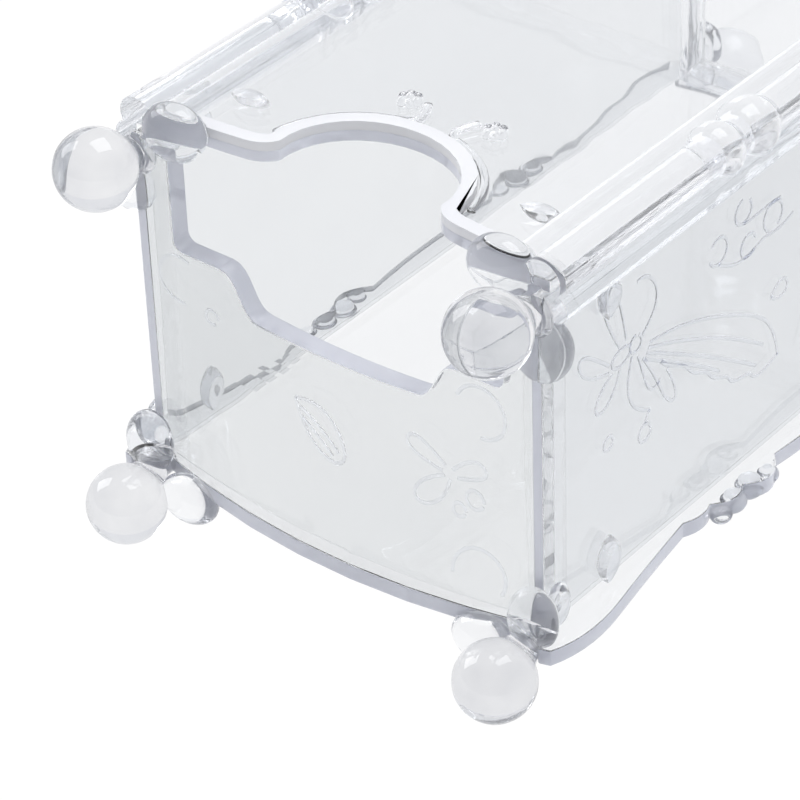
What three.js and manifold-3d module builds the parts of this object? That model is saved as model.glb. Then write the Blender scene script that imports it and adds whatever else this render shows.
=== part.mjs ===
// Clear plastic pad dispenser box, lying on its back: a long box of bonded plates with a wavy
// pull-out mouth where the front and the near end meet, reeded corner mouldings, ball feet with
// petals at the corners, an ornate back panel and a lift-off lid at the far end.
// Millimetres, +Z up, long side along Y, the near end towards -Y.
import * as THREE from 'three';
import { mergeVertices } from 'three/addons/utils/BufferGeometryUtils.js';
import Module from 'manifold-3d';

const wasm = await Module();
wasm.setup();

// ---- Driving dimensions -------------------------------------------------------------------
const BOX_WIDTH = 84;           // outside of the two side walls
const INNER_HEIGHT = 63.8;      // from the back panel to the underside of the front panel
const BODY_LENGTH = 160;        // length of the side walls
const WALL = 2.0;               // side wall thickness
const FRONT_THICKNESS = 2.4;
const BACK_THICKNESS = 3.2;
const END_THICKNESS = 4.0;
const BOND = 0.1;               // glue line between bonded plates
const CLEAR = 0.3;              // air kept between a trimmed ornament and its neighbour

const MOUTH_HALF_WIDTH = 16.6;  // arch of the mouth in the front panel
const MOUTH_RISE = 14.1;
const MOUTH_CENTRE_Y = 9.0;
const SHOULDER_Y = 4.2;         // near edge of the front panel beside the mouth
const SHOULDER_X = 23;          // where the shoulder turns into the arch
const RIM_WIDTH = 2.6;
const RIM_RISE = 1.8;

const CUT_EAR = 6;              // what the cut leaves of the end plate beside each wall
const CUT_WAIST = 19.4;         // half width of the cut's narrow lower part
const CUT_SHOULDER_DEPTH = 19.5;
const CUT_DEPTH = 28.3;
const CUT_BOW = 0.8;            // how much the bottom of the cut sags at the middle

const BALL_RADIUS = 7.13;
const BALL_INSET = 1.9;         // ball centre inside the side wall's outer face
const BALL_REACH = 10.8;        // ball centre in front of the end face
const UPPER_BALL_DROP = 2.9;    // ball centre below the front panel's face
const LOWER_BALL_DROP = 1.4;    // ball centre below the back panel's underside
const NECK_RADIUS = 2.6;

const END_BOW = 5.8;            // how far the foot of the end plate swells out at the middle
const BOW_HEIGHT = 32;          // the swelling fades out at this height

const MOULDING_START = 1.0;
const KNOT_Y = 52;              // centre of the bead knot on each moulding, from either end
const POST_RADIUS = 3.4;

const LID_THICKNESS = 3.0;
const LID_FIT = 0.5;            // clearance of the locating rim inside the box
const LID_RIM_DEPTH = 6;
const LID_RIM_WALL = 2.0;
const LID_OVERHANG = 3.0;
const LID_BELOW = 4.8;          // how far the lid reaches below the back panel's underside
const KNOB_RADIUS = 9;
const KNOB_REACH = 15;          // knob centre from the lid's outer face

// ---- Worked-out sizes ---------------------------------------------------------------------
const HALF = BOX_WIDTH / 2;
const INNER_HALF = HALF - WALL;
const FRONT_TOP = INNER_HEIGHT + FRONT_THICKNESS;
const BALL_X = HALF - BALL_INSET;
const UPPER_BALL_Z = FRONT_TOP - UPPER_BALL_DROP;
const LOWER_BALL_Z = -BACK_THICKNESS - LOWER_BALL_DROP;
const LID_FACE = BODY_LENGTH + CLEAR;
const LID_OUTER = LID_FACE + LID_THICKNESS;
const NEAR_LIMIT = -(BALL_REACH + BALL_RADIUS);
const FAR_LIMIT = LID_OUTER + KNOB_REACH + KNOB_RADIUS;
const FLOOR_Z = LOWER_BALL_Z - BALL_RADIUS;
const SIDES = [['left', -1], ['right', 1]];

// ---- Materials ----------------------------------------------------------------------------
function clearPlastic(colour) {
  return new THREE.MeshStandardMaterial({
    color: colour,
    roughness: 0.05,
    metalness: 0,
    transparent: true,
    opacity: 0.35,
  });
}
const PANEL_COLOUR = 0xe4e6ea;
const TRIM_COLOUR = 0xd6dae2;
const LID_COLOUR = 0xe0e3e8;

// ---- Solids -------------------------------------------------------------------------------
function toSolid(geometry) {
  const bare = geometry.index ? geometry.toNonIndexed() : geometry.clone();
  bare.deleteAttribute('normal');
  bare.deleteAttribute('uv');
  const merged = mergeVertices(bare, 1e-4);
  return new wasm.Manifold(new wasm.Mesh({
    numProp: 3,
    vertProperties: new Float32Array(merged.attributes.position.array),
    triVerts: new Uint32Array(merged.index.array),
  }));
}

function toGeometry(solid) {
  const data = solid.getMesh();
  const geometry = new THREE.BufferGeometry();
  geometry.setAttribute('position', new THREE.BufferAttribute(new Float32Array(data.vertProperties), 3));
  geometry.setIndex(new THREE.BufferAttribute(new Uint32Array(data.triVerts), 1));
  geometry.computeVertexNormals();
  return geometry;
}

function block(x0, x1, y0, y1, z0, z1) {
  const geometry = new THREE.BoxGeometry(x1 - x0, y1 - y0, z1 - z0);
  geometry.translate((x0 + x1) / 2, (y0 + y1) / 2, (z0 + z1) / 2);
  return toSolid(geometry);
}

// A closed outline drawn in X and Y, extruded up from z0 to z1 and moved along Y.
function slab(shape, z0, z1, shift = 0) {
  const settings = { depth: z1 - z0, bevelEnabled: false, curveSegments: 8 };
  const geometry = new THREE.ExtrudeGeometry(shape, settings);
  geometry.translate(0, shift, z0);
  return toSolid(geometry);
}

// A closed outline drawn in X and Z, extruded along Y from y0 to y1.
function upright(shape, y0, y1, curveSegments = 8) {
  const geometry = new THREE.ExtrudeGeometry(shape, { depth: y1 - y0, bevelEnabled: false, curveSegments });
  geometry.rotateX(Math.PI / 2);
  geometry.translate(0, y1, 0);
  return toSolid(geometry);
}

function ellipsoid(centre, semi, grow = 0, around = 12, down = 8) {
  const geometry = new THREE.SphereGeometry(1, around, down);
  geometry.scale(semi[0] + grow, semi[1] + grow, semi[2] + grow);
  geometry.translate(...centre);
  return toSolid(geometry);
}

// A round rod along Y.
function rod(x, z, radius, y0, y1, around = 16) {
  const geometry = new THREE.CylinderGeometry(radius, radius, y1 - y0, around);
  geometry.translate(x, (y0 + y1) / 2, z);
  return toSolid(geometry);
}

// A ball with a short round neck that points from the ball's centre to the given point.
function ballWithNeck(centre, tip, ballRadius, neckRadius, grow = 0) {
  const radius = ballRadius + grow;
  const neck = neckRadius + grow;
  const from = new THREE.Vector3(...centre);
  const along = new THREE.Vector3(...tip).sub(from);
  const reach = along.length();
  const meet = Math.asin(neck / radius);
  const steps = 9;
  const profile = [new THREE.Vector2(0, -radius)];
  for (let i = 1; i <= steps; i += 1) {
    const angle = -Math.PI / 2 + (Math.PI - meet) * (i / steps);
    profile.push(new THREE.Vector2(radius * Math.cos(angle), radius * Math.sin(angle)));
  }
  profile.push(new THREE.Vector2(neck, reach), new THREE.Vector2(0, reach));
  const geometry = new THREE.LatheGeometry(profile, 16);
  const turn = new THREE.Quaternion().setFromUnitVectors(new THREE.Vector3(0, 1, 0), along.normalize());
  geometry.applyQuaternion(turn);
  geometry.translate(...centre);
  return toSolid(geometry);
}

// A ribbon of even width along a row of points in a plane, as a closed shape.
function ribbon(points, width) {
  const left = [];
  const right = [];
  points.forEach((point, i) => {
    const before = points[Math.max(i - 1, 0)];
    const after = points[Math.min(i + 1, points.length - 1)];
    const across = after.clone().sub(before).normalize();
    const normal = new THREE.Vector2(-across.y, across.x).multiplyScalar(width / 2);
    left.push(point.clone().add(normal));
    right.push(point.clone().sub(normal));
  });
  return new THREE.Shape([...left, ...right.reverse()]);
}

// ---- Assembly -----------------------------------------------------------------------------
const dispenser = new THREE.Group();
dispenser.position.set(0, -(NEAR_LIMIT + FAR_LIMIT) / 2, -FLOOR_Z);

function add(name, solid, colour) {
  const mesh = new THREE.Mesh(toGeometry(solid), clearPlastic(colour));
  mesh.name = name;
  dispenser.add(mesh);
}

// ---- Mouth edge ---------------------------------------------------------------------------
// Half of the mouth's edge from the corner of the front panel to the middle of the arch.
function mouthHalf(side) {
  const foot = MOUTH_CENTRE_Y - 1;
  const path = new THREE.CurvePath();
  const at = (x, y) => new THREE.Vector2(side * x, y);
  const wave = (HALF + SHOULDER_X) / 2;
  path.add(new THREE.QuadraticBezierCurve(
    at(HALF, SHOULDER_Y),
    at(wave, SHOULDER_Y - 0.6),
    at(SHOULDER_X, SHOULDER_Y + 0.6),
  ));
  path.add(new THREE.QuadraticBezierCurve(
    at(SHOULDER_X, SHOULDER_Y + 0.6),
    at(MOUTH_HALF_WIDTH + 1.6, SHOULDER_Y + 0.8),
    at(MOUTH_HALF_WIDTH, foot),
  ));
  const start = Math.asin((foot - MOUTH_CENTRE_Y) / MOUTH_RISE);
  const arch = new THREE.EllipseCurve(0, MOUTH_CENTRE_Y, MOUTH_HALF_WIDTH, MOUTH_RISE, start, Math.PI / 2);
  const points = [];
  path.curves.forEach((curve) => points.push(...curve.getPoints(6).slice(0, -1)));
  arch.getPoints(10).forEach((p) => points.push(at(p.x, p.y)));
  return points;
}

function mouthEdge() {
  const rightHalf = mouthHalf(1);
  const leftHalf = mouthHalf(-1).slice(0, -1);
  return [...leftHalf, ...rightHalf.reverse()];
}

function frontPanel() {
  const outline = mouthEdge();
  outline.push(new THREE.Vector2(HALF, BODY_LENGTH), new THREE.Vector2(-HALF, BODY_LENGTH));
  return slab(new THREE.Shape(outline), INNER_HEIGHT + BOND, FRONT_TOP);
}

// The rim follows the mouth a little back from its edge and stops short of the mouldings.
function mouthRim() {
  const edge = mouthEdge();
  const middle = edge.map((point, i) => {
    const before = edge[Math.max(i - 1, 0)];
    const after = edge[Math.min(i + 1, edge.length - 1)];
    const across = after.clone().sub(before).normalize();
    return point.clone().add(new THREE.Vector2(-across.y, across.x).multiplyScalar(RIM_WIDTH / 2));
  });
  const solid = slab(ribbon(middle, RIM_WIDTH), FRONT_TOP + BOND, FRONT_TOP + RIM_RISE);
  const limit = MOULDING_INNER - CLEAR;
  return solid.intersect(block(-limit, limit, -BODY_LENGTH, BODY_LENGTH, 0, 2 * FRONT_TOP));
}

// ---- End plate ----------------------------------------------------------------------------
// The plate is flat at the cut and swells out towards its foot, most at the middle.
function swell(x, z) {
  const across = 1 - (x / INNER_HALF) ** 2;
  const fade = Math.max(0, 1 - Math.max(z, 0) / BOW_HEIGHT);
  return END_BOW * across * fade ** 2;
}

function swelledPlate(y0, y1) {
  const low = -BACK_THICKNESS;
  const geometry = new THREE.BoxGeometry(2 * INNER_HALF, y1 - y0, FRONT_TOP - low, 20, 1, 24);
  geometry.translate(0, (y0 + y1) / 2, (FRONT_TOP + low) / 2);
  const points = geometry.attributes.position;
  for (let i = 0; i < points.count; i += 1) {
    points.setY(i, points.getY(i) - swell(points.getX(i), points.getZ(i)));
  }
  return toSolid(geometry);
}

function endPlate() {
  const shape = new THREE.Shape();
  const side = INNER_HALF - BOND;
  const top = INNER_HEIGHT - BOND;
  const step = INNER_HEIGHT - CUT_SHOULDER_DEPTH;
  const bottom = INNER_HEIGHT - CUT_DEPTH;
  const low = bottom + CUT_BOW;
  const wide = INNER_HALF - CUT_EAR;
  const corner = 2.2;
  shape.moveTo(-side, BOND);
  shape.lineTo(side, BOND);
  shape.lineTo(side, top);
  shape.lineTo(wide, top);
  shape.lineTo(wide, step + corner);
  shape.quadraticCurveTo(wide, step, wide - corner, step);
  shape.lineTo(CUT_WAIST + 5, step);
  shape.bezierCurveTo(CUT_WAIST + 0.5, step, CUT_WAIST + 1, low, CUT_WAIST - 3, low);
  shape.quadraticCurveTo(0, bottom - CUT_BOW, -CUT_WAIST + 3, low);
  shape.bezierCurveTo(-CUT_WAIST - 1, low, -CUT_WAIST - 0.5, step, -CUT_WAIST - 5, step);
  shape.lineTo(-wide + corner, step);
  shape.quadraticCurveTo(-wide, step, -wide, step + corner);
  shape.lineTo(-wide, top);
  shape.lineTo(-side, top);
  return upright(shape, -2 * END_BOW, END_THICKNESS).intersect(swelledPlate(0, END_THICKNESS));
}

// ---- Back panel ---------------------------------------------------------------------------
// The ornate edge of one side, as [reach beyond the wall, distance from the end] at each cusp,
// with the reach of the lobe's crest that leads to it. It is mirrored about the middle.
const NEAR_TIP = [4.2, -4.6];
const EDGE_LOBES = [
  { crest: [7.4, 3], cusp: [5.6, 13] },
  { crest: [3.6, 24], cusp: [1.9, 36.5] },
  { crest: [3.9, 40], cusp: [2.5, 43.5] },
  { crest: [6.6, 47.5], cusp: [3.8, 51.5] },
  { crest: [9.0, 56], cusp: [3.2, 62] },
];
const MIDDLE_CREST = 5.5;

function backOutline() {
  const shape = new THREE.Shape();
  const middle = BODY_LENGTH / 2;
  const last = EDGE_LOBES[EDGE_LOBES.length - 1].cusp;
  shape.moveTo(-INNER_HALF, 0);
  shape.quadraticCurveTo(0, -2 * END_BOW, INNER_HALF, 0);
  shape.lineTo(HALF + NEAR_TIP[0] - 2, NEAR_TIP[1]);
  shape.lineTo(HALF + NEAR_TIP[0], NEAR_TIP[1] + 0.6);
  EDGE_LOBES.forEach(({ crest, cusp }) => {
    shape.quadraticCurveTo(HALF + crest[0], crest[1], HALF + cusp[0], cusp[1]);
  });
  shape.quadraticCurveTo(HALF + MIDDLE_CREST, middle, HALF + last[0], BODY_LENGTH - last[1]);
  const farLobes = [...EDGE_LOBES].reverse();
  farLobes.forEach(({ crest }, i) => {
    const next = farLobes[i + 1] ? farLobes[i + 1].cusp : [3.5, 0];
    shape.quadraticCurveTo(HALF + crest[0], BODY_LENGTH - crest[1], HALF + next[0], BODY_LENGTH - next[1]);
  });
  const right = shape.getPoints(7);
  const halfLoop = right.filter((point) => point.x >= 0);
  const mirrored = halfLoop.map((point) => new THREE.Vector2(-point.x, point.y)).reverse();
  return new THREE.Shape([...halfLoop, ...mirrored]);
}

// Ornaments are trimmed against the box's outer envelope, the end plate and the back panel.
const skin = HALF + CLEAR;
const envelope = block(-skin, skin, -CLEAR, BODY_LENGTH, -BACK_THICKNESS - CLEAR, FRONT_TOP + CLEAR);
const backFrom = -BACK_THICKNESS - CLEAR;
const backSkin = slab(backOutline(), backFrom, CLEAR, -2 * CLEAR);
const outside = envelope
  .add(swelledPlate(-CLEAR, END_THICKNESS))
  .add(backSkin.translate([-CLEAR, 0, 0]))
  .add(backSkin.translate([CLEAR, 0, 0]));

// ---- Mouldings ----------------------------------------------------------------------------
// Three beads run along each upper edge: one on the front panel, one on the corner and one on
// the side wall. They are [centre from the corner in x, centre from the front face in z, radius].
const BEADS = [
  [-5.9, 0.9, 2.7],
  [-0.6, 0.8, 3.6],
  [1.7, -3.5, 2.6],
];
const MOULDING_INNER = HALF + BEADS[0][0] - BEADS[0][2];
const KNOT_BEADS = [
  { along: -4.5, semi: [5.0, 5.0, 5.0] },
  { along: 4.5, semi: [5.4, 6.0, 5.2] },
];

function knotPieces(side, y, grow) {
  const direction = y < BODY_LENGTH / 2 ? 1 : -1;
  const centreX = side * (HALF - 0.8);
  return KNOT_BEADS.map(({ along, semi }) => (
    ellipsoid([centreX, y + direction * along, FRONT_TOP + 0.6], semi, grow)
  ));
}

function moulding(side) {
  const rods = BEADS.map(([dx, dz, radius]) => (
    rod(side * (HALF + dx), FRONT_TOP + dz, radius, MOULDING_START, BODY_LENGTH)
  ));
  let solid = rods[0].add(rods[1]).add(rods[2]);
  solid = solid.subtract(envelope);
  solid = solid.subtract(upperSidePetal(side, CLEAR));
  return solid.subtract(petalAcross(side, 'upper', CLEAR));
}

function cutKnots(solid, side) {
  let cut = solid;
  for (const y of [KNOT_Y, BODY_LENGTH - KNOT_Y]) {
    for (const piece of knotPieces(side, y, CLEAR)) cut = cut.subtract(piece);
  }
  return cut;
}

// ---- Petals -------------------------------------------------------------------------------
const ACROSS = {
  upper: { centre: [HALF - 8.5, 1.5, FRONT_TOP + 0.3], semi: [6.2, 4.2, 5.2] },
  lower: { centre: [HALF - 10, -3.4, -BACK_THICKNESS - 1.2], semi: [6.0, 3.6, 4.6] },
};

function petalAcross(side, level, grow = 0) {
  const { centre, semi } = ACROSS[level];
  return ellipsoid([side * centre[0], centre[1], centre[2]], semi, grow);
}

function upperSidePetal(side, grow = 0) {
  return ellipsoid([side * (HALF + 0.3), 0.4, FRONT_TOP - 11.2], [4.8, 4.5, 5.6], grow);
}

function lowerSidePetal(side, grow = 0) {
  const petal = ellipsoid([side * (HALF - 0.5), -2.3, 3.2], [4.6, 3.6, 6.2], grow, 12, 8);
  return petal.subtract(block(-2 * HALF, 2 * HALF, -HALF, HALF, -HALF, CLEAR - grow));
}

function lowerDrop(side) {
  return ellipsoid([side * (HALF + 1.4), 2, 4.6], [1.6, 2.6, 4.2]);
}

// ---- Leaves -------------------------------------------------------------------------------
const LEAF_Y = 16.4;
const LEAVES = {
  upper_leaf: { centre: [HALF + 1, LEAF_Y, FRONT_TOP - 9.8], semi: [1.2, 2.7, 3.2] },
  lower_leaf: { centre: [HALF + 1, LEAF_Y, 4.6], semi: [1.3, 2.5, 4.2] },
  front_leaf: { centre: [HALF - 12, LEAF_Y, FRONT_TOP + 0.8], semi: [2.9, 1.7, 1.3] },
};

// ---- Corner posts ---------------------------------------------------------------------------
function cornerPost(side) {
  const x = side * (INNER_HALF - BOND);
  const y = END_THICKNESS + BOND;
  const post = new THREE.CylinderGeometry(POST_RADIUS, POST_RADIUS, INNER_HEIGHT - 4 * BOND, 20);
  post.rotateX(Math.PI / 2);
  post.translate(x, y, INNER_HEIGHT / 2);
  const quarter = block(Math.min(0, x), Math.max(0, x), y, y + 2 * POST_RADIUS, 0, INNER_HEIGHT);
  return toSolid(post).intersect(quarter);
}

// ---- Scroll rib beside the arch, ending in a berry -----------------------------------------
const SCROLL_WIDTH = 1.5;
const SCROLL_RISE = 1.3;
const BERRY = [8.8, MOUTH_CENTRE_Y + MOUTH_RISE + 8.9];

function scroll(side) {
  const rimOuter = MOUTH_HALF_WIDTH + RIM_WIDTH + CLEAR + SCROLL_WIDTH / 2;
  const rise = MOUTH_RISE + RIM_WIDTH + CLEAR + SCROLL_WIDTH / 2;
  const from = 0.1;
  const leave = 1.32;
  const at = (x, y) => new THREE.Vector2(side * x, y);
  const points = new THREE.EllipseCurve(0, MOUTH_CENTRE_Y, rimOuter, rise, from, leave).getPoints(9)
    .map((p) => at(p.x, p.y));
  const end = points[points.length - 1];
  const tip = at(BERRY[0] - 3.4, BERRY[1] + 0.6);
  const tail = new THREE.QuadraticBezierCurve(end, at(2.2, end.y + 1.4), tip);
  points.push(...tail.getPoints(5).slice(1));
  return slab(ribbon(points, SCROLL_WIDTH), FRONT_TOP + BOND, FRONT_TOP + SCROLL_RISE);
}

function berry(side) {
  const ball = ellipsoid([side * BERRY[0], BERRY[1], FRONT_TOP + 0.6], [2.4, 2.4, 1.7]);
  return ball.subtract(envelope);
}

// ---- Lid ----------------------------------------------------------------------------------
const LID_BOTTOM = -BACK_THICKNESS - LID_BELOW;
const LID_TOP = FRONT_TOP + LID_OVERHANG;
const LID_HALF = HALF + LID_OVERHANG;

function lidPlate() {
  const shape = new THREE.Shape();
  const scallop = 1.6;
  const across = [-LID_HALF, -LID_HALF / 3, LID_HALF / 3, LID_HALF];
  const up = [0, 1, 2, 3].map((i) => LID_BOTTOM + ((LID_TOP - LID_BOTTOM) * i) / 3);
  const lobe = (x0, z0, x1, z1, dx, dz) => {
    shape.quadraticCurveTo((x0 + x1) / 2 + dx, (z0 + z1) / 2 + dz, x1, z1);
  };
  shape.moveTo(across[0], up[0]);
  for (let i = 0; i < 3; i += 1) lobe(across[i], up[0], across[i + 1], up[0], 0, scallop);
  for (let i = 0; i < 3; i += 1) lobe(LID_HALF, up[i], LID_HALF, up[i + 1], -scallop, 0);
  for (let i = 3; i > 0; i -= 1) lobe(across[i], up[3], across[i - 1], up[3], 0, -scallop);
  for (let i = 3; i > 0; i -= 1) lobe(-LID_HALF, up[i], -LID_HALF, up[i - 1], scallop, 0);
  return upright(shape, LID_FACE, LID_OUTER, 6);
}

function lidRim() {
  const x = INNER_HALF - LID_FIT;
  const z0 = LID_FIT;
  const z1 = INNER_HEIGHT - LID_FIT;
  const y0 = BODY_LENGTH - LID_RIM_DEPTH;
  const y1 = LID_FACE - BOND;
  const outer = block(-x, x, y0, y1, z0, z1);
  const t = LID_RIM_WALL;
  return outer.subtract(block(-x + t, x - t, y0 - 1, y1 + 1, z0 + t, z1 - t));
}

const KNOB_NECK = 4.2;
const lidKeepOut = block(-2 * HALF, 2 * HALF, 0, LID_OUTER + BOND, -HALF, 2 * FRONT_TOP);

function lidKnob() {
  const centre = [0, LID_OUTER + KNOB_REACH, KNOB_Z];
  return ballWithNeck(centre, [0, LID_OUTER, KNOB_Z], KNOB_RADIUS, KNOB_NECK).subtract(lidKeepOut);
}

const KNOB_Z = (LID_BOTTOM + LID_TOP) / 2;
const PETAL_RING = 10.5;

function knobRosette() {
  let solid = rod(0, KNOB_Z, PETAL_RING, LID_OUTER + BOND, LID_OUTER + 2, 24);
  for (let i = 0; i < 6; i += 1) {
    const angle = (i * Math.PI) / 3;
    const geometry = new THREE.SphereGeometry(1, 12, 8);
    geometry.scale(5.6, 2.4, 4.4);
    geometry.rotateY(-angle);
    const x = PETAL_RING * Math.cos(angle);
    geometry.translate(x, LID_OUTER + 1.6, KNOB_Z + PETAL_RING * Math.sin(angle));
    solid = solid.add(toSolid(geometry));
  }
  const bore = rod(0, KNOB_Z, KNOB_NECK + CLEAR, LID_FACE, LID_OUTER + KNOB_REACH, 24);
  return solid.subtract(bore).subtract(lidKeepOut);
}

function lidPetal(side, level, standing) {
  const z = level === 'upper' ? UPPER_BALL_Z : LOWER_BALL_Z;
  const inward = level === 'upper' ? -1 : 1;
  const centre = standing
    ? [side * (BALL_X + 0.5), LID_OUTER + 1.6, z + inward * 8.2]
    : [side * (BALL_X - 8.4), LID_OUTER + 1.6, z + inward * 0.2];
  const semi = standing ? [4.4, 3.0, 5.4] : [5.4, 3.0, 4.4];
  return ellipsoid(centre, semi);
}

// ---- Build --------------------------------------------------------------------------------
const plates = {
  back_panel: slab(backOutline(), -BACK_THICKNESS, 0),
  front_panel: frontPanel(),
  end_plate: endPlate(),
};
for (const [name, plate] of Object.entries(plates)) add(name, plate, PANEL_COLOUR);

const rimTrims = SIDES.map(([, side]) => petalAcross(side, 'upper', CLEAR));
add('mouth_rim', mouthRim().subtract(rimTrims[0]).subtract(rimTrims[1]), TRIM_COLOUR);

function nearCorner(name, side) {
  const foot = (z, rise, grow) => {
    const centre = [side * BALL_X, -BALL_REACH, z];
    return ballWithNeck(centre, [side * (BALL_X + 0.6), 0, z + rise], BALL_RADIUS, NECK_RADIUS, grow);
  };
  const upperBall = (grow) => foot(UPPER_BALL_Z, -2.2, grow);
  const lowerBall = (grow) => foot(LOWER_BALL_Z, 4, grow);
  const lowerAcross = petalAcross(side, 'lower').subtract(lowerSidePetal(side, CLEAR));
  const pieces = {
    upper_ball: upperBall(0),
    lower_ball: lowerBall(0),
    upper_across_petal: petalAcross(side, 'upper').subtract(upperBall(CLEAR)),
    upper_side_petal: upperSidePetal(side).subtract(upperBall(CLEAR)),
    lower_across_petal: lowerAcross.subtract(lowerBall(CLEAR)),
    lower_side_petal: lowerSidePetal(side).subtract(lowerBall(CLEAR)),
    lower_drop: lowerDrop(side).subtract(lowerSidePetal(side, CLEAR)),
  };
  for (const [pieceName, piece] of Object.entries(pieces)) {
    add(`${name}_${pieceName}`, piece.subtract(outside), TRIM_COLOUR);
  }
}

function farCorner(name, side) {
  const x = side * BALL_X;
  for (const [level, z] of [['upper', UPPER_BALL_Z], ['lower', LOWER_BALL_Z]]) {
    const ball = (grow) => (
      ballWithNeck([x, LID_OUTER + BALL_REACH, z], [x, LID_OUTER, z], BALL_RADIUS, NECK_RADIUS, grow)
    );
    const pieces = {
      ball: ball(0),
      across_petal: lidPetal(side, level, false).subtract(ball(CLEAR)),
      side_petal: lidPetal(side, level, true).subtract(ball(CLEAR)),
    };
    for (const [pieceName, piece] of Object.entries(pieces)) {
      add(`lid_${name}_${level}_${pieceName}`, piece.subtract(lidKeepOut), TRIM_COLOUR);
    }
  }
}

for (const [name, side] of SIDES) {
  const x0 = Math.min(side * INNER_HALF, side * HALF);
  add(`${name}_wall`, block(x0, x0 + WALL, 0, BODY_LENGTH, BOND, INNER_HEIGHT), PANEL_COLOUR);

  add(`${name}_scroll`, scroll(side), TRIM_COLOUR);
  add(`${name}_scroll_berry`, berry(side), TRIM_COLOUR);
  add(`${name}_moulding`, cutKnots(moulding(side), side), TRIM_COLOUR);
  for (const [end, y] of [['near', KNOT_Y], ['far', BODY_LENGTH - KNOT_Y]]) {
    const [first, second] = knotPieces(side, y, 0);
    add(`${name}_${end}_knot`, first.add(second).subtract(envelope), TRIM_COLOUR);
  }
  add(`${name}_corner_post`, cornerPost(side), TRIM_COLOUR);
  for (const [leafName, { centre, semi }] of Object.entries(LEAVES)) {
    const leaf = ellipsoid([side * centre[0], centre[1], centre[2]], semi);
    add(`${name}_${leafName}`, leaf.subtract(outside), TRIM_COLOUR);
  }
  nearCorner(name, side);
  farCorner(name, side);
}

add('lid_plate', lidPlate(), LID_COLOUR);
add('lid_locating_rim', lidRim(), LID_COLOUR);
add('lid_knob', lidKnob(), TRIM_COLOUR);
add('lid_knob_rosette', knobRosette(), TRIM_COLOUR);

export default dispenser;
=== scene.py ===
"""Clear plastic pad dispenser box lying on its back, with ball feet, petals and a lift-off lid."""
import math
import bmesh
import bpy
from mathutils import Matrix, Vector


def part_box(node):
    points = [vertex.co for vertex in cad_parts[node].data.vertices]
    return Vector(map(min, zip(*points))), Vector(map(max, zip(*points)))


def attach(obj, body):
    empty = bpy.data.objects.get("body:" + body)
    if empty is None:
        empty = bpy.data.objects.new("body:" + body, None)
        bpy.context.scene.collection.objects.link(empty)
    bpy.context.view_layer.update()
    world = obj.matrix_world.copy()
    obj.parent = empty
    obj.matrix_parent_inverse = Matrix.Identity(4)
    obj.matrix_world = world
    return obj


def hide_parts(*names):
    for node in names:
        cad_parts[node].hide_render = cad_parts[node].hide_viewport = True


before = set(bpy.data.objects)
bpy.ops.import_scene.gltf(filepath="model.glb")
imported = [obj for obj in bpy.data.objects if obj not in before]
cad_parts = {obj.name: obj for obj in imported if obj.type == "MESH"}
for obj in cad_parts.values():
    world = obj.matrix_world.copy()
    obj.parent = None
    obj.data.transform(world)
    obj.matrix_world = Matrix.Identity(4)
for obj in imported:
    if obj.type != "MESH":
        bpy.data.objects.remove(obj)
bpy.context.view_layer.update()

scene = bpy.context.scene

# ---- Sizes, in millimetres from the inside of the back panel at the near end ---------------
MM = 0.001
wall_low, wall_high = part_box("right_wall")
front_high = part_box("front_panel")[1]
back_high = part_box("back_panel")[1]
DATUM = Vector((0, wall_low.y, back_high.z))
HALF = wall_high.x / MM
LENGTH = (wall_high.y - wall_low.y) / MM
FRONT_TOP = (front_high.z - DATUM.z) / MM
INNER_HALF = wall_low.x / MM
BACK_THICKNESS = (back_high.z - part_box("back_panel")[0].z) / MM
END_BOW = (DATUM.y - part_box("back_panel")[0].y) / MM
BOW_HEIGHT = 32         # the end plate's swelling fades out at this height
LID_OUTER = (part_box("lid_plate")[1].y - DATUM.y) / MM
SINK = 0.45             # how deep a moulded-on ornament runs into its plate
SIDES = {"left": -1, "right": 1}
LIGHT_BOUNCES = 40      # enough for light that is trapped in a plate to find its way out


# ---- Camera, light and floor ----------------------------------------------------------------
SENSOR = 36.0
FOCAL_LENGTH = 163.0
CAMERA_PLACE = (0.31861, -0.44911, 0.38291)
CAMERA_TARGET = (-0.01702, -0.04842, 0.01173)
CAMERA_ROLL = -2.21
FLOOR_SIZE = 12


def make_camera():
    data = bpy.data.cameras.new("camera")
    data.sensor_width = SENSOR
    data.lens = FOCAL_LENGTH
    data.clip_start = 0.05
    data.clip_end = 50
    camera = bpy.data.objects.new("camera", data)
    scene.collection.objects.link(camera)
    eye = Vector(CAMERA_PLACE)
    target = Vector(CAMERA_TARGET)
    roll = math.radians(CAMERA_ROLL)
    back = (eye - target).normalized()
    level = (-back).cross(Vector((0, 0, 1))).normalized()
    upright = level.cross(-back)
    across = math.cos(roll) * level + math.sin(roll) * upright
    above = -math.sin(roll) * level + math.cos(roll) * upright
    camera.matrix_world = Matrix.Translation(eye) @ Matrix((across, above, back)).transposed().to_4x4()
    scene.camera = camera


def softbox(name, place, size, power):
    data = bpy.data.lights.new(name, "AREA")
    data.shape = "RECTANGLE"
    data.size, data.size_y = size
    data.energy = power
    light = bpy.data.objects.new(name, data)
    light.location = place
    light.rotation_mode = "QUATERNION"
    light.rotation_quaternion = Vector(place).to_track_quat("Z", "Y")
    scene.collection.objects.link(light)


# ---- Materials --------------------------------------------------------------------------------
class Term:
    """A number that changes over a surface. The operators add Math nodes."""

    def __init__(self, recipe, socket):
        self.recipe = recipe
        self.socket = socket

    def math(self, operation, first, second):
        return self.recipe.node("ShaderNodeMath", {"operation": operation}, {0: first, 1: second})

    def __add__(self, other):
        return self.math("ADD", self, other)

    def __mul__(self, other):
        return self.math("MULTIPLY", self, other)

    __radd__ = __add__
    __rmul__ = __mul__


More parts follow.
